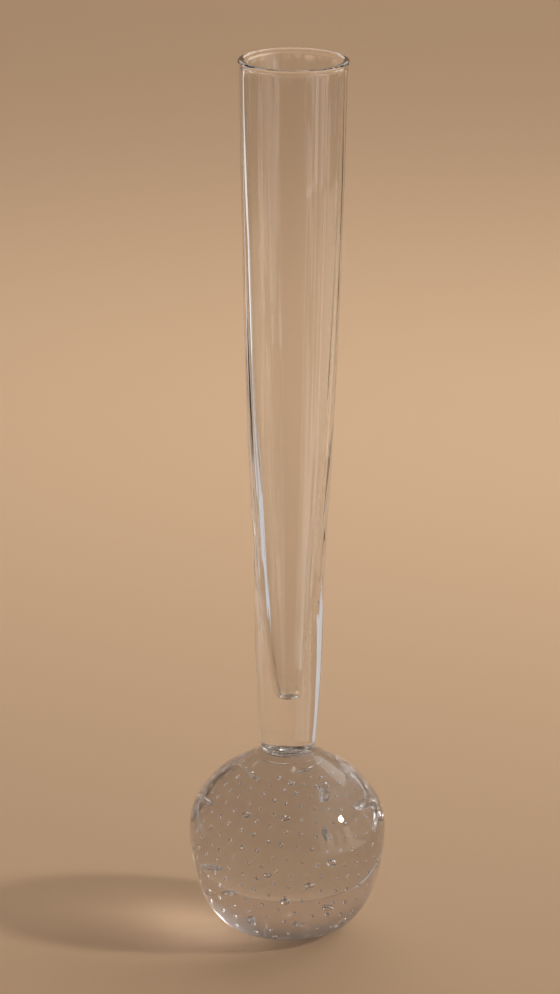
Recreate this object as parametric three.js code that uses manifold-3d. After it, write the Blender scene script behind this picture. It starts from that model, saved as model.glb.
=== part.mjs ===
// A hand blown bud vase in clear glass: a tall tapered stem standing on a solid ball of bubbled glass.
//
// It is made hot, from three pieces of glass that fuse where they touch:
//   ball_core    the first gather, a solid ball pricked all over with rows of small pits
//   ball_casing  the clear gather laid over the core, which traps a bubble of air in every pit
//   stem         the blown tube, drawn out long, whose thick closed end stands on the ball
//
// Lengths are in millimetres and +Z is up. The vase stands on the plane z = 0, centred on the Z axis.
// Glass that is fused in the finished vase stands JOINT_GAP apart here, so that each piece is a solid of its own.

import * as THREE from 'three';
import { mergeVertices } from 'three/addons/utils/BufferGeometryUtils.js';
import Module from 'manifold-3d';

// ---- driving dimensions ----

const HEIGHT = 290;
const JOINT_GAP = 0.3;
const SEGMENTS_AROUND = 36;

// Outlines are drawn through a few points, each [distance from the axis, height].
// The ball goes from the edge of its flat foot, past its widest ring, up to the crease under the stem.
const BALL_OUTSIDE = [
  [15.2, 0.6], [21.2, 3.7], [26.1, 9.6], [29.2, 17], [31.2, 26], [31.85, 34.5],
  [31.0, 40.8], [28.0, 46.7], [22.3, 53.2], [15.4, 57.8], [11.2, 60.3], [9.4, 61.7],
];
const FOOT_RADIUS = 13.4;
const MIDDLE_HEIGHT = 34.5;
const CORE_SCALE = 0.87;
const CORE_NECK_RADIUS = 4.5;

// The waist is the narrow crease where the stem's foot stands on the ball.
const WAIST_RADIUS = 8.75;
const WAIST_HEIGHT = 62.4;

const STEM_OUTSIDE = [
  [8.8, 63.6], [9.3, 69], [10.0, 80], [10.75, 95], [11.7, 130], [13.5, 165], [15.0, 205], [16.3, 250], [16.95, 287.6],
];
const BORE_WALL = [
  [15.3, 289.4], [14.8, 250], [13.7, 214], [12.0, 177], [8.9, 140], [6.5, 111], [4.9, 96], [4.0, 89], [3.1, 83.5],
];
const BORE_TIP_HEIGHT = 80.2;
const LIP_RADIUS = 17.45;
const LIP_ROUNDING = 0.9;

// The pits stand in rows around an axis that leans a little, because the ball was turned as it was pricked.
const PIT_RADIUS = 0.6;
const PIT_DEPTH = 0.9;
const PIT_SIDES = 4;
const PIT_ROWS = 20;
const PITS_IN_WIDEST_ROW = 36;
const PIT_AXIS_LEAN = THREE.MathUtils.degToRad(12);
const BARE_NECK_ANGLE = THREE.MathUtils.degToRad(30);

// ---- outlines ----

const point = (radius, height) => new THREE.Vector2(radius, height);

// A smooth wall through a few points.
function wall(points, steps) {
  return new THREE.SplineCurve(points.map(([radius, height]) => point(radius, height))).getPoints(steps);
}

// A rounded corner from one point to another, curving towards a third.
function bend(from, towards, to, steps) {
  return new THREE.QuadraticBezierCurve(from, towards, to).getPoints(steps);
}

// The ball's outside shrunk towards its middle, from the axis underneath up to the core's neck.
function coreOutline(scale, neckRadius, steps) {
  const middle = point(0, MIDDLE_HEIGHT);
  const shrink = (spot) => spot.sub(middle).multiplyScalar(scale).add(middle);
  const flank = wall(BALL_OUTSIDE.slice(0, -1), steps).map(shrink);
  const shoulder = flank.at(-1);
  return [
    point(0, flank[0].y),
    ...flank,
    ...bend(shoulder, point(neckRadius, shoulder.y + 1), point(neckRadius, shoulder.y + 3), 3).slice(1),
  ];
}

// ---- solids ----

// Turns an outline that goes up its outside and down its inside into a closed solid around the Z axis.
function revolve(outline) {
  return new THREE.LatheGeometry(outline, SEGMENTS_AROUND).rotateX(Math.PI / 2);
}

const wasm = await Module();
wasm.setup();

// A closed geometry as a manifold-3d solid, with the shared vertices merged and the empty triangles left out.
function toSolid(geometry) {
  geometry.deleteAttribute('normal');
  geometry.deleteAttribute('uv');
  const merged = mergeVertices(geometry, 1e-4);
  const corners = merged.index.array;
  const triangles = [];
  for (let i = 0; i < corners.length; i += 3) {
    const [a, b, c] = corners.slice(i, i + 3);
    if (a !== b && b !== c && c !== a) triangles.push(a, b, c);
  }
  return new wasm.Manifold(new wasm.Mesh({
    numProp: 3,
    vertProperties: new Float32Array(merged.attributes.position.array),
    triVerts: new Uint32Array(triangles),
  }));
}

function toGeometry(solid) {
  const mesh = solid.getMesh();
  const geometry = new THREE.BufferGeometry();
  geometry.setAttribute('position', new THREE.BufferAttribute(mesh.vertProperties, 3));
  geometry.setIndex(new THREE.BufferAttribute(mesh.triVerts, 1));
  geometry.computeVertexNormals();
  return geometry;
}

// The directions of the pits, seen from the middle of the ball: rows around the leaning axis.
function pitDirections() {
  const leaningAxis = new THREE.Vector3(Math.sin(PIT_AXIS_LEAN), 0, Math.cos(PIT_AXIS_LEAN));
  const lean = new THREE.Quaternion().setFromUnitVectors(new THREE.Vector3(0, 1, 0), leaningAxis);
  const directions = [];
  for (let row = 1; row < PIT_ROWS; row += 1) {
    const fromPole = Math.PI * row / PIT_ROWS;
    const count = Math.round(PITS_IN_WIDEST_ROW * Math.sin(fromPole));
    for (let pit = 0; pit < count; pit += 1) {
      const around = 2 * Math.PI * (pit + row / 2) / count;
      const direction = new THREE.Vector3().setFromSphericalCoords(1, fromPole, around).applyQuaternion(lean);
      if (direction.z < Math.cos(BARE_NECK_ANGLE)) directions.push(direction);
    }
  }
  return directions;
}

// Where a ray from the middle of the ball meets the core's outline, and the way the surface faces there.
function surfaceSpot(outline, direction) {
  const sideways = Math.hypot(direction.x, direction.y);
  const side = (spot) => sideways * (spot.y - MIDDLE_HEIGHT) - direction.z * spot.x;
  const next = outline.findIndex((spot, i) => i > 0 && side(spot) > 0);
  const [below, above] = [outline[next - 1], outline[next]];
  const spot = below.clone().lerp(above, side(below) / (side(below) - side(above)));
  const slope = above.clone().sub(below).normalize();
  const place = new THREE.Vector3(direction.x, direction.y, 0).multiplyScalar(spot.x / sideways).setZ(spot.y);
  const facing = new THREE.Vector3(direction.x, direction.y, 0).multiplyScalar(slope.y / sideways).setZ(-slope.x);
  return { place, facing };
}

// One pricked pit: a small cone with its point inwards and its mouth just outside the core.
function pitSolid({ place, facing }) {
  const cone = new THREE.ConeGeometry(PIT_RADIUS, PIT_DEPTH, PIT_SIDES);
  cone.applyQuaternion(new THREE.Quaternion().setFromUnitVectors(new THREE.Vector3(0, -1, 0), facing));
  cone.translate(...place.addScaledVector(facing, -PIT_DEPTH / 4));
  return toSolid(cone);
}

// ---- the three pieces of glass ----

function ballCore() {
  const outline = coreOutline(CORE_SCALE, CORE_NECK_RADIUS, 18);
  const joint = WAIST_HEIGHT - JOINT_GAP / 2;
  const plain = revolve([...outline, point(CORE_NECK_RADIUS, joint), point(0, joint)]);
  const pits = pitDirections().map((direction) => pitSolid(surfaceSpot(outline, direction)));
  return toGeometry(toSolid(plain).subtract(wasm.Manifold.union(pits)));
}

function ballCasing() {
  const waist = point(WAIST_RADIUS, WAIST_HEIGHT - JOINT_GAP / 2);
  const outside = wall(BALL_OUTSIDE, 22);
  const collar = outside.at(-1);
  const neckRadius = CORE_NECK_RADIUS + JOINT_GAP;
  const hollowScale = CORE_SCALE + JOINT_GAP / MIDDLE_HEIGHT;
  return revolve([
    point(0, 0),
    point(FOOT_RADIUS, 0),
    ...outside,
    ...bend(collar, point(waist.x, waist.y - 0.2), waist, 3).slice(1),
    point(neckRadius, waist.y),
    ...coreOutline(hollowScale, neckRadius, 18).reverse(),
  ]);
}

function stem() {
  const waist = point(WAIST_RADIUS, WAIST_HEIGHT + JOINT_GAP / 2);
  const outside = wall(STEM_OUTSIDE, 14);
  const bore = wall(BORE_WALL, 15);
  const [foot, flare, lipInside, tipTop] = [outside[0], outside.at(-1), bore[0], bore.at(-1)];
  const lipSide = point(LIP_RADIUS, HEIGHT - LIP_ROUNDING);
  return revolve([
    point(0, waist.y),
    ...bend(waist, point(waist.x, waist.y + 0.5), foot, 3),
    ...outside.slice(1),
    ...bend(flare, point(flare.x, lipSide.y - LIP_ROUNDING), lipSide, 3).slice(1),
    ...bend(lipSide, point(LIP_RADIUS, HEIGHT), point(LIP_RADIUS - LIP_ROUNDING, HEIGHT), 3).slice(1),
    ...bend(point(lipInside.x + LIP_ROUNDING, HEIGHT), point(lipInside.x, HEIGHT), lipInside, 3),
    ...bore.slice(1),
    ...bend(tipTop, point(tipTop.x, BORE_TIP_HEIGHT), point(0, BORE_TIP_HEIGHT), 5).slice(1),
  ]);
}

// ---- assembly ----

const CLEAR_GLASS = { color: 0xe6e2dc, roughness: 0.03, metalness: 0, transparent: true, opacity: 0.35 };

function piece(name, geometry) {
  const mesh = new THREE.Mesh(geometry, new THREE.MeshStandardMaterial(CLEAR_GLASS));
  mesh.name = name;
  return mesh;
}

const vase = new THREE.Group();
vase.add(piece('ball_core', ballCore()));
vase.add(piece('ball_casing', ballCasing()));
vase.add(piece('stem', stem()));

export default vase;
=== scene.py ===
"""Looks for the bubble ball bud vase: clear fused glass with trapped air bubbles, on a plain warm floor.

The outlines of the glass are in millimetres, and the lamps, the camera and the materials in metres.
+X is to the right, +Y is away from the camera and +Z is up.
"""

import math
import random

import bpy
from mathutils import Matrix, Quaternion, Vector

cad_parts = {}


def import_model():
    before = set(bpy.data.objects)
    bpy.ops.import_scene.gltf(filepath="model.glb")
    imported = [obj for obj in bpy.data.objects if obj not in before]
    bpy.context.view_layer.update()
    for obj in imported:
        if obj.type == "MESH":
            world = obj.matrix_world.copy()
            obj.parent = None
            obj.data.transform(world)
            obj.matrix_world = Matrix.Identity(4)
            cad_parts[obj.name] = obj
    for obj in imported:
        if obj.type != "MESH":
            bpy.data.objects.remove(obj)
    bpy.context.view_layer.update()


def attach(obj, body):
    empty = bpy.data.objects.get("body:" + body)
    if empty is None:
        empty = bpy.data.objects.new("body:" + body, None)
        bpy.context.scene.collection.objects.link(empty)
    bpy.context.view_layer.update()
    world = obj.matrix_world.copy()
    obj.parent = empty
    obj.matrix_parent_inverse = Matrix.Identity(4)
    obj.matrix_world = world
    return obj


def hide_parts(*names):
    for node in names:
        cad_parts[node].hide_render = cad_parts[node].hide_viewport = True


MM = 0.001
SEED = 7

# ---- the outlines of the glass, each point (distance from the axis, height) in millimetres ----

BALL_OUTSIDE = [
    (15.2, 0.6), (21.2, 3.7), (26.1, 9.6), (29.2, 17), (31.2, 26), (31.85, 34.5),
    (31.0, 40.8), (28.0, 46.7), (22.3, 53.2), (15.4, 57.8), (11.2, 60.3), (9.4, 61.7),
]
FOOT_RADIUS = 13.4
MIDDLE_HEIGHT = 34.5
CORE_SCALE = 0.87
CORE_NECK_RADIUS = 4.5
WAIST_RADIUS = 8.75
WAIST_HEIGHT = 62.4
STEM_OUTSIDE = [
    (8.8, 63.6), (9.3, 69), (10.0, 80), (10.75, 95), (11.7, 130),
    (13.5, 165), (15.0, 205), (16.3, 250), (16.95, 287.6),
]
BORE_WALL = [
    (15.3, 289.4), (14.8, 250), (13.7, 214), (12.0, 177), (8.9, 140),
    (6.5, 111), (4.9, 96), (4.0, 89), (3.1, 83.5),
]
BORE_TIP_HEIGHT = 80.2
LIP_RADIUS = 17.45
LIP_ROUNDING = 0.9
HEIGHT = 290

# How far the corner of the core's neck, and the corners of the crease at the waist, reach up or down.
NECK_CORNER_MIDDLE = 1
NECK_CORNER_TOP = 3
COLLAR_CORNER = 0.2
STEM_FOOT_CORNER = 0.5

# The bubbles stand in rows around an axis that leans a little, none of them under the stem.
BUBBLE_RADIUS = 0.62
BUBBLE_SIZES = (0.85, 1.15)
BUBBLE_SCATTER = 0.25
BUBBLE_ROWS = 20
BUBBLES_IN_WIDEST_ROW = 36
BUBBLE_AXIS_LEAN = math.radians(12)
BARE_NECK_ANGLE = math.radians(30)

# The stem's draw lines: how many waves go around, how deep they are, and the height where they begin.
OUTER_LINES = (range(6, 50), 0.35, 62)
INNER_LINES = (range(5, 48), 0.5, 80)
LINES_IN_A_SKIN = 14
LINE_SIZES = (0.4, 1)

# The height over which the lines deepen, and the height over which the most slanted drifts by one radian.
LINE_FADE_IN = 60
LINE_WANDER = 40

# How finely the meshes are divided, around the axis and along the outlines.
BALL_SIDES = 192
STEM_SIDES = 288
BUBBLE_SIDES = 16
BUBBLE_RINGS = 8
CORE_STEPS = 110
CASING_STEPS = 132
STEM_STEPS = 80
BORE_STEPS = 90

# The material slots of each piece, and the distance from the axis, in millimetres, that counts as on it.
SKIN = 0
JOINT = 1
ON_THE_AXIS = 1e-6

# ---- the looks of the glass ----

IOR = 1.5
CORE_TINT = (0.97, 0.96, 0.95)
# The casing's tint is the glass's own faint grey, darkened much further as painted shade: it stands in for
# the shaded floor that the ball shows.
CASING_TINT_AND_SHADE = (0.68, 0.675, 0.7)
STEM_TINT = (0.93, 0.925, 0.92)

# How deep the slow waves in each skin are, in metres. The core's only skin is that of its bubbles.
CORE_WAVINESS = 0.0
CASING_WAVINESS = 0.00003
STEM_WAVINESS = 0.00002
WAVES_PER_METRE = 55

# Faint smears, where the noise is between the edges, raise the roughness up to this much.
SMEARS_PER_METRE = 90
SMEAR_EDGES = (0.45, 0.8)
SMEAR_ROUGHNESS = 0.035

# The share of a lamp's light that passes straight through each skin.
SHADOW_LIGHT = 0.15

# ---- the floor, its rings and its drop below the foot in millimetres ----

FLOOR_RINGS = (0, 60, 400, 3500)
FLOOR_DROP = 0.2
FLOOR_COLOUR = (0.60, 0.42, 0.275)
FLOOR_ROUGHNESS = 0.9
FLOOR_SPECULAR = 0.1

# ---- the camera: its place, aim and reach in metres, its lens and sensor in millimetres ----

CAMERA_PLACE = (0, -1.404, 0.601)
CAMERA_AIM = (-0.0032, 0, 0.1475)
CAMERA_ROLL = math.radians(0.45)
CAMERA_LENS = 297.3
SENSOR_WIDTH = 36
CAMERA_REACH = 20

# ---- the light, in metres and watts per square metre and steradian ----

# The world's colours, and the shares of a direction along +Y, +X and +Z between which each pair blends.
DIM_FRONT = (0.08, 0.06, 0.045)
WARM_WALL = (0.5, 0.32, 0.197)
WALL_EDGES = (-1.0, -0.1)
DIM_SKY = (0.13, 0.12, 0.11)
WINDOW_SKY = (1.0, 0.97, 0.93)
WINDOW_EDGES = (0.1, 0.9)
SKY_EDGES = (0.15, 0.7)

DAYLIGHT = (1, 0.98, 0.95)
OVERHEAD_LIGHT = (1, 0.97, 0.93)
SUNLIGHT = (1, 0.94, 0.85)
BLIND_LIGHT = (1, 0.95, 0.9)
BOARD_LIGHT = (1, 0.88, 0.7)
NEAR_STRIP_LIGHT = (0.4, 0.72, 1)
FAR_STRIP_LIGHT = (0.75, 0.9, 1)

BALL_FOOT = (0, 0, 0.03)
FLOOR_LAMP_HEIGHT = 0.01
STRIP_TURN = math.radians(22)

# The blind at the right, and its lit gaps: the shift along it, the width and the radiance of each.
BLIND_MIDDLE = (0.75, -0.45)
BLIND_DIRECTION = (0.51, 0.86)
BLIND_GAPS = [(-0.29, 0.1, 0.9), (-0.12, 0.13, 1.5), (0.07, 0.11, 0.9), (0.27, 0.14, 1.6)]

# The stripe of sun at each gap: the distance to its middle, its length, and its share of the gap's radiance.
SUN_PATCH_DISTANCE = 0.5
SUN_PATCH_LENGTH = 0.78
SUN_PATCH_SHARE = 0.7

LIGHT_BOUNCES = 32
MIRROR_BOUNCES = 12
BRIGHTEST_BOUNCE = 6


# ---- outlines ----


def smooth_wall(points, steps):
    """Points along a uniform Catmull-Rom curve through the given ones, as the CAD outlines are drawn."""
    made = []
    last = len(points) - 1
    for step in range(steps + 1):
        spot = last * step / steps
        i = min(int(spot), last - 1)
        t = spot - i
        p0, p1, p2, p3 = (Vector(points[min(max(j, 0), last)]) for j in (i - 1, i, i + 1, i + 2))
        v0, v1 = (p2 - p0) / 2, (p3 - p1) / 2
        made.append((2 * p1 - 2 * p2 + v0 + v1) * t**3 + (3 * p2 - 3 * p1 - 2 * v0 - v1) * t**2 + v0 * t + p1)
    return made


def bend(start, towards, end, steps):
    """A rounded corner from start to end, curving towards a third point."""
    start, towards, end = Vector(start), Vector(towards), Vector(end)
    made = []
    for step in range(steps + 1):
        t = step / steps
        made.append(start * (1 - t) ** 2 + towards * 2 * t * (1 - t) + end * t**2)
    return made


def core_outline():
    """The ball's outside shrunk towards its middle, from the axis underneath up to the core's neck."""
    flank = smooth_wall(BALL_OUTSIDE[:-1], CORE_STEPS)
    shrunk = [Vector((p.x * CORE_SCALE, MIDDLE_HEIGHT + (p.y - MIDDLE_HEIGHT) * CORE_SCALE)) for p in flank]
    shoulder = shrunk[-1]
    towards = (CORE_NECK_RADIUS, shoulder.y + NECK_CORNER_MIDDLE)
    neck = (CORE_NECK_RADIUS, shoulder.y + NECK_CORNER_TOP)
    return [Vector((0, shrunk[0].y)), *shrunk, *bend(shoulder, towards, neck, steps=8)[1:]]


# ---- meshes ----


class Lathe:
    """Collects rings of vertices around the Z axis, and the bands of faces between them, into one mesh."""

    def __init__(self, sides):
        self.sides = sides
        self.vertices = []
        self.faces = []
        self.slots = []
        self.last = None

    def add(self, outline, slot=SKIN, ripple=None):
        """Carries the surface on through the outline's points, with an optional ripple around each ring."""
        for radius, height in outline:
            start = len(self.vertices)
            if radius < ON_THE_AXIS:
                ring = [start]
                self.vertices.append((0, 0, height * MM))
            else:
                ring = list(range(start, start + self.sides))
                for i in range(self.sides):
                    turn = 2 * math.pi * i / self.sides
                    out = (radius + (ripple(turn, height) if ripple else 0)) * MM
                    self.vertices.append((out * math.cos(turn), out * math.sin(turn), height * MM))
            if self.last is not None:
                self.add_band(self.last, ring, slot)
            self.last = ring

    def add_band(self, low, high, slot):
        """Joins two rings, either of which may be a single vertex on the axis."""
        for i in range(self.sides):
            j = (i + 1) % self.sides
            if len(low) == 1:
                face = (low[0], high[j], high[i])
            elif len(high) == 1:
                face = (low[i], low[j], high[0])
            else:
                face = (low[i], low[j], high[j], high[i])
            self.faces.append(face)
            self.slots.append(slot)

    def make_object(self, name, materials):
        """The collected mesh as an object in the scene, smooth on its skin and flat where it is joined."""
        mesh = bpy.data.meshes.new(name)
        mesh.from_pydata(self.vertices, [], self.faces)
        for material in materials:
            mesh.materials.append(material)
        mesh.polygons.foreach_set("material_index", self.slots)
        mesh.polygons.foreach_set("use_smooth", [slot == SKIN for slot in self.slots])
        mesh.update()
        made = bpy.data.objects.new(name, mesh)
        bpy.context.scene.collection.objects.link(made)
        return made


def bubble_directions():
    """The directions of the bubbles, seen from the middle of the ball: rows around the leaning axis."""
    lean = Quaternion((0, 1, 0), BUBBLE_AXIS_LEAN)
    for row in range(1, BUBBLE_ROWS):
        from_pole = math.pi * row / BUBBLE_ROWS
        count = round(BUBBLES_IN_WIDEST_ROW * math.sin(from_pole))
        for bubble in range(count):
            around = 2 * math.pi * (bubble + row / 2) / count
            direction = Vector((
                math.sin(from_pole) * math.cos(around),
                math.sin(from_pole) * math.sin(around),
                math.cos(from_pole),
            ))
            direction.rotate(lean)
            if direction.z < math.cos(BARE_NECK_ANGLE):
                yield direction


def surface_spot(outline, direction):
    """Where a ray from the middle of the ball meets the outline."""
    sideways = math.hypot(direction.x, direction.y)

    def side(spot):
        return sideways * (spot.y - MIDDLE_HEIGHT) - direction.z * spot.x

    above = next(i for i, spot in enumerate(outline) if i and side(spot) > 0)
    low, high = outline[above - 1], outline[above]
    spot = low.lerp(high, side(low) / (side(low) - side(high)))
    return Vector((direction.x / sideways * spot.x, direction.y / sideways * spot.x, spot.y))


def add_bubble(lathe, centre, radius):
    """Adds a closed ball whose faces look inwards, because the glass ends there and the air begins."""
    spots = [Vector((0, 0, -radius))]
    for ring in range(1, BUBBLE_RINGS):
        up = -math.cos(math.pi * ring / BUBBLE_RINGS) * radius
        out = math.sin(math.pi * ring / BUBBLE_RINGS) * radius
        for side in range(BUBBLE_SIDES):
            turn = 2 * math.pi * side / BUBBLE_SIDES
            spots.append(Vector((out * math.cos(turn), out * math.sin(turn), up)))
    spots.append(Vector((0, 0, radius)))

    bottom = len(lathe.vertices)
    top = bottom + len(spots) - 1
    first_ring = bottom + 1
    last_ring = top - BUBBLE_SIDES
    faces = []
    for side in range(BUBBLE_SIDES):
        after = (side + 1) % BUBBLE_SIDES
        faces.append((bottom, first_ring + side, first_ring + after))
        faces.append((top, last_ring + after, last_ring + side))
        for low in range(first_ring, last_ring, BUBBLE_SIDES):
            high = low + BUBBLE_SIDES
            faces.append((low + after, low + side, high + side, high + after))
    lathe.vertices += [tuple((centre + spot) * MM) for spot in spots]
    lathe.faces += faces
    lathe.slots += [SKIN] * len(faces)


def make_core(clear, joint):
    """The first gather: fused to its neighbours all over, so that only its bubbles have a skin."""
    outline = core_outline()
    lathe = Lathe(BALL_SIDES)
    lathe.add(outline, JOINT)
    lathe.add([(CORE_NECK_RADIUS, WAIST_HEIGHT), (0, WAIST_HEIGHT)], JOINT)
    draws = random.Random(SEED)
    for direction in bubble_directions():
        scatter = Vector([draws.gauss(0, BUBBLE_SCATTER) for _ in range(3)])
        centre = surface_spot(outline, direction) + scatter
        add_bubble(lathe, centre, BUBBLE_RADIUS * draws.uniform(*BUBBLE_SIZES))
    return lathe.make_object("core_glass", [clear, joint])


def make_casing(clear, joint):
    """The gather over the core, from the ground foot up to the crease, and back down around the core."""
    outside = smooth_wall(BALL_OUTSIDE, CASING_STEPS)
    waist = (WAIST_RADIUS, WAIST_HEIGHT)
    lathe = Lathe(BALL_SIDES)
    lathe.add([(0, 0), (FOOT_RADIUS, 0)])
    lathe.add(outside)
    lathe.add(bend(outside[-1], (WAIST_RADIUS, WAIST_HEIGHT - COLLAR_CORNER), waist, steps=10)[1:])
    lathe.add([(CORE_NECK_RADIUS, WAIST_HEIGHT)], JOINT)
    lathe.add(reversed(core_outline()), JOINT)
    return lathe.make_object("casing_glass", [clear, joint])


def draw_lines(seed, wave_counts, depth, bottom):
    """A ripple of shallow grooves along the stem, left by drawing it out, that wander as they go up."""
    draws = random.Random(seed)
    lines = []
    for _ in range(LINES_IN_A_SKIN):
        waves = draws.choice(wave_counts)
        start = draws.uniform(0, 2 * math.pi)
        drift = draws.uniform(-1, 1)
        size = draws.uniform(*LINE_SIZES)
        lines.append((waves, start, drift, size))

    def ripple(turn, height):
        share = min(max((height - bottom) / LINE_FADE_IN, 0), 1)
        total = sum(
            size * math.sin(waves * turn + start + drift * height / LINE_WANDER) / waves
            for waves, start, drift, size in lines
        )
        return depth * share * total

    return ripple


def make_stem(clear, joint):
    """The drawn tube: up its outside, over the flat lip with its rounded edges, and down its bore."""
    outside = smooth_wall(STEM_OUTSIDE, STEM_STEPS)
    bore = smooth_wall(BORE_WALL, BORE_STEPS)
    foot, flare, lip_inside, tip_top = outside[0], outside[-1], bore[0], bore[-1]
    waist = (WAIST_RADIUS, WAIST_HEIGHT)
    lip_side = (LIP_RADIUS, HEIGHT - LIP_ROUNDING)
    lip_outer_edge = (LIP_RADIUS - LIP_ROUNDING, HEIGHT)
    lip_inner_edge = (lip_inside.x + LIP_ROUNDING, HEIGHT)
    lathe = Lathe(STEM_SIDES)
    lathe.add([(0, WAIST_HEIGHT), waist], JOINT)
    lathe.add(bend(waist, (WAIST_RADIUS, WAIST_HEIGHT + STEM_FOOT_CORNER), foot, steps=8)[1:])
    lathe.add(outside[1:], ripple=draw_lines(SEED + 1, *OUTER_LINES))
    lathe.add(bend(flare, (flare.x, HEIGHT - 2 * LIP_ROUNDING), lip_side, steps=8)[1:])
    lathe.add(bend(lip_side, (LIP_RADIUS, HEIGHT), lip_outer_edge, steps=6)[1:])
    lathe.add(bend(lip_inner_edge, (lip_inside.x, HEIGHT), lip_inside, steps=6))
    lathe.add(bore[1:], ripple=draw_lines(SEED + 2, *INNER_LINES))
    lathe.add(bend(tip_top, (tip_top.x, BORE_TIP_HEIGHT), (0, BORE_TIP_HEIGHT), steps=16)[1:])
    return lathe.make_object("stem_glass", [clear, joint])


# ---- materials ----


def noise(tree, place, scale, detail):
    """The value of a noise texture, with the scale in waves per metre."""
    texture = tree.nodes.new("ShaderNodeTexNoise")
    texture.inputs["Scale"].default_value = scale
    texture.inputs["Detail"].default_value = detail
    tree.links.new(place.outputs["Object"], texture.inputs["Vector"])
    return texture.outputs["Fac"]


def map_range(tree, value, edges, reach=1.0, interpolation="LINEAR"):
    """A number that goes from 0 to the given reach as the value goes from the first edge to the second."""
    low, high = edges
    node = tree.nodes.new("ShaderNodeMapRange")
    node.interpolation_type = interpolation
    node.inputs["From Min"].default_value = low
    node.inputs["From Max"].default_value = high
    node.inputs["To Max"].default_value = reach
    tree.links.new(value, node.inputs["Value"])
    return node.outputs["Result"]


def glass(name, tint, waviness):
    """Clear glass with slow waves and faint smears, which lets a little lamp light straight through."""
    material = bpy.data.materials.new(name)
    material.use_nodes = True
    tree = material.node_tree
    shader = tree.nodes["Principled BSDF"]
    shader.inputs["Base Color"].default_value = (*tint, 1)
    shader.inputs["IOR"].default_value = IOR
    shader.inputs["Transmission Weight"].default_value = 1.0

    place = tree.nodes.new("ShaderNodeTexCoord")
    smears = noise(tree, place, SMEARS_PER_METRE, detail=3)
    tree.links.new(map_range(tree, smears, SMEAR_EDGES, SMEAR_ROUGHNESS), shader.inputs["Roughness"])
    bump = tree.nodes.new("ShaderNodeBump")
    bump.inputs["Strength"].default_value = 1.0
    bump.inputs["Distance"].default_value = waviness
    tree.links.new(noise(tree, place, WAVES_PER_METRE, detail=2), bump.inputs["Height"])
    tree.links.new(bump.outputs["Normal"], shader.inputs["Normal"])

    see_through = tree.nodes.new("ShaderNodeBsdfTransparent")
    see_through.inputs["Color"].default_value = (SHADOW_LIGHT, SHADOW_LIGHT, SHADOW_LIGHT, 1)
    path = tree.nodes.new("ShaderNodeLightPath")
    mix = tree.nodes.new("ShaderNodeMixShader")
    tree.links.new(path.outputs["Is Shadow Ray"], mix.inputs["Fac"])
    tree.links.new(shader.outputs["BSDF"], mix.inputs[1])
    tree.links.new(see_through.outputs["BSDF"], mix.inputs[2])
    tree.links.new(mix.outputs["Shader"], tree.nodes["Material Output"].inputs["Surface"])
    return material


def fused_joint(name):
    """A face where two pieces of the same glass are fused, so that light passes it straight."""
    material = bpy.data.materials.new(name)
    material.use_nodes = True
    tree = material.node_tree
    tree.nodes.remove(tree.nodes["Principled BSDF"])
    see_through = tree.nodes.new("ShaderNodeBsdfTransparent")
    tree.links.new(see_through.outputs["BSDF"], tree.nodes["Material Output"].inputs["Surface"])
    return material


# ---- the floor, the camera and the light ----


def make_floor():
    """A wide round floor, a hair below the foot, so that the glass stands on a film of air."""
    lathe = Lathe(BALL_SIDES)
    lathe.add([(radius, -FLOOR_DROP) for radius in FLOOR_RINGS])
    material = bpy.data.materials.new("floor")
    material.use_nodes = True
    shader = material.node_tree.nodes["Principled BSDF"]
    shader.inputs["Base Color"].default_value = (*FLOOR_COLOUR, 1)
    shader.inputs["Roughness"].default_value = FLOOR_ROUGHNESS
    shader.inputs["Specular IOR Level"].default_value = FLOOR_SPECULAR
    made = lathe.make_object("floor", [material])


def make_camera():
    """A long lens that looks down on the vase, rolled a little."""
    data = bpy.data.cameras.new("camera")
    data.sensor_fit = "HORIZONTAL"
    data.sensor_width = SENSOR_WIDTH
    data.lens = CAMERA_LENS
    data.clip_end = CAMERA_REACH
    camera = bpy.data.objects.new("camera", data)
    camera.location = CAMERA_PLACE
    look = (Vector(CAMERA_AIM) - camera.location).to_track_quat("-Z", "Y")
    camera.rotation_mode = "QUATERNION"
    camera.rotation_quaternion = look @ Quaternion((0, 0, 1), CAMERA_ROLL)
    bpy.context.scene.collection.objects.link(camera)
    bpy.context.scene.camera = camera


def ramp(tree, value, edges, first, second):
    """A colour that goes smoothly from the first to the second, each of which is a colour or a socket."""
    share = map_range(tree, value, edges, interpolation="SMOOTHSTEP")
    mix = tree.nodes.new("ShaderNodeMix")
    mix.data_type = "RGBA"
    tree.links.new(share, mix.inputs["Factor"])
    for socket, colour in ((mix.inputs["A"], first), (mix.inputs["B"], second)):
        if isinstance(colour, tuple):
            socket.default_value = (*colour, 1)
        else:
            tree.links.new(colour, socket)
    return mix.outputs["Result"]


def make_world():
    """Warm walls at the sides and behind, a dim room in front, and a sky that is bright at the right."""
    world = bpy.data.worlds.new("world")
    world.use_nodes = True
    tree = world.node_tree
    direction = tree.nodes.new("ShaderNodeTexCoord")
    parts = tree.nodes.new("ShaderNodeSeparateXYZ")
    tree.links.new(direction.outputs["Generated"], parts.inputs["Vector"])
    walls = ramp(tree, parts.outputs["Y"], WALL_EDGES, DIM_FRONT, WARM_WALL)
    sky = ramp(tree, parts.outputs["X"], WINDOW_EDGES, DIM_SKY, WINDOW_SKY)
    room = ramp(tree, parts.outputs["Z"], SKY_EDGES, walls, sky)
    tree.links.new(room, tree.nodes["Background"].inputs["Color"])
    bpy.context.scene.world = world


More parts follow.
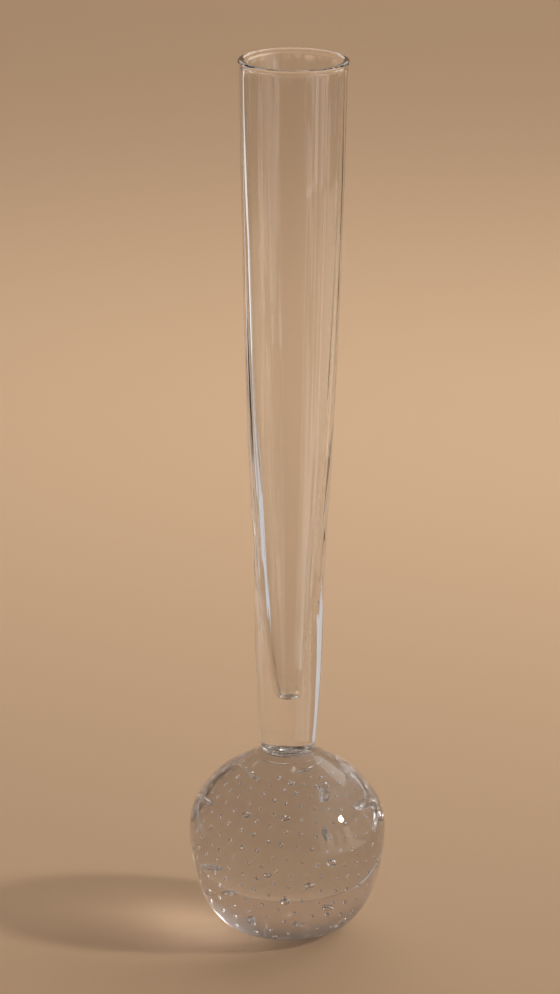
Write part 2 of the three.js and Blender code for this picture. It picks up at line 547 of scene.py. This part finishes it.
def soft_box(name, place, target, size, radiance, colour, hidden_from=()):
    """A rectangular lamp that the camera doesn't see, and the given kinds of ray don't find."""
    width, height = size
    light = bpy.data.lights.new(name, "AREA")
    light.shape = "RECTANGLE"
    light.size = width
    light.size_y = height
    light.energy = radiance * math.pi * width * height
    light.color = colour
    made = bpy.data.objects.new(name, light)
    made.location = place
    made.rotation_euler = (Vector(target) - Vector(place)).to_track_quat("-Z", "Y").to_euler()
    for ray in ("camera", *hidden_from):
        setattr(made, f"visible_{ray}", False)
    bpy.context.scene.collection.objects.link(made)
    return made


def floor_patch(name, x, y, size, turn, radiance, colour):
    """A bright patch of floor that only the glass shows: a lamp that lies there and shines up."""
    place = (x, y, FLOOR_LAMP_HEIGHT)
    made = soft_box(name, place, (x, y, 1), size, radiance, colour, hidden_from=["diffuse"])
    made.rotation_euler = (math.pi, 0, turn)


def light_room():
    """The soft light of the room, and the sun from the right that throws the shadow."""
    soft_box(
        "ceiling", place=(0.1, 0.6, 0.5), target=(0.1, 0.6, 0), size=(0.9, 0.5),
        radiance=1.35, colour=DAYLIGHT, hidden_from=["transmission"],
    )
    soft_box(
        "back_light", place=(0, 3.0, 1.5), target=(0, 3.0, 0), size=(2.5, 1.5),
        radiance=1.2, colour=DAYLIGHT, hidden_from=["transmission", "glossy"],
    )
    soft_box(
        "window", place=(0.6, 0.3, 0.55), target=BALL_FOOT, size=(0.4, 0.3),
        radiance=2.2, colour=DAYLIGHT, hidden_from=["glossy"],
    )
    soft_box(
        "overhead", place=(0.6, 0.1, 0.75), target=BALL_FOOT, size=(0.9, 0.7),
        radiance=4.0, colour=OVERHEAD_LIGHT, hidden_from=["diffuse", "glossy"],
    )
    soft_box(
        "key", place=(5.2, -0.9, 3.35), target=(0, 0, 0), size=(0.6, 0.6),
        radiance=118, colour=SUNLIGHT,
    )


def light_blind():
    """The lit gaps of the blind, and the stripe of sun on the floor in front of each."""
    for number, (shift, width, radiance) in enumerate(BLIND_GAPS):
        x = BLIND_MIDDLE[0] + BLIND_DIRECTION[0] * shift
        y = BLIND_MIDDLE[1] + BLIND_DIRECTION[1] * shift
        soft_box(
            f"blind_{number}", place=(x, y, 0.15), target=(0, 0, 0.12), size=(width, 0.5),
            radiance=radiance, colour=BLIND_LIGHT, hidden_from=["diffuse"],
        )
        nearer = SUN_PATCH_DISTANCE / math.hypot(x, y)
        floor_patch(
            f"sun_patch_{number}", x * nearer, y * nearer, (width / 2, SUN_PATCH_LENGTH),
            turn=math.atan2(y, x) + math.pi / 2, radiance=SUN_PATCH_SHARE * radiance, colour=BLIND_LIGHT,
        )


def light_edges():
    """The pale board and the two strips of floor that draw the bright lines at the edges of the glass."""
    soft_box(
        "right_board", place=(0.33, 0.03, 0.08), target=(0, 0.03, 0.08), size=(0.26, 0.16),
        radiance=0.5, colour=BOARD_LIGHT, hidden_from=["diffuse"],
    )
    floor_patch("near_strip", -0.322, 0.31, (0.15, 0.62), STRIP_TURN, radiance=0.5, colour=NEAR_STRIP_LIGHT)
    floor_patch("far_strip", -0.6, 0.8, (0.16, 0.92), STRIP_TURN, radiance=0.8, colour=FAR_STRIP_LIGHT)


def set_light_limits():
    """Plain colours, enough bounces for light to get through the ball, and a limit on stray bright dots."""
    scene = bpy.context.scene
    scene.view_settings.view_transform = "Standard"
    scene.cycles.max_bounces = LIGHT_BOUNCES
    scene.cycles.transmission_bounces = LIGHT_BOUNCES
    scene.cycles.glossy_bounces = MIRROR_BOUNCES
    scene.cycles.transparent_max_bounces = LIGHT_BOUNCES
    scene.cycles.sample_clamp_indirect = BRIGHTEST_BOUNCE


def main():
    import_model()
    make_camera()

    joint = fused_joint("fused_joint")
    core = make_core(glass("core_clear", CORE_TINT, CORE_WAVINESS), joint)
    # The casing's tint carries painted shade that darkens the whole ball.
    casing = make_casing(glass("casing_clear", CASING_TINT_AND_SHADE, CASING_WAVINESS), joint)
    stem = make_stem(glass("stem_clear", STEM_TINT, STEM_WAVINESS), joint)
    for piece, node, slot in (
        (core, "ball_core", "core_glass"),
        (casing, "ball_casing", "casing_glass"),
        (stem, "stem", "stem_glass"),
    ):
        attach(piece, "root")
        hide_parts(node)

    make_floor()
    make_world()
    light_room()
    light_blind()
    light_edges()
    set_light_limits()


main()
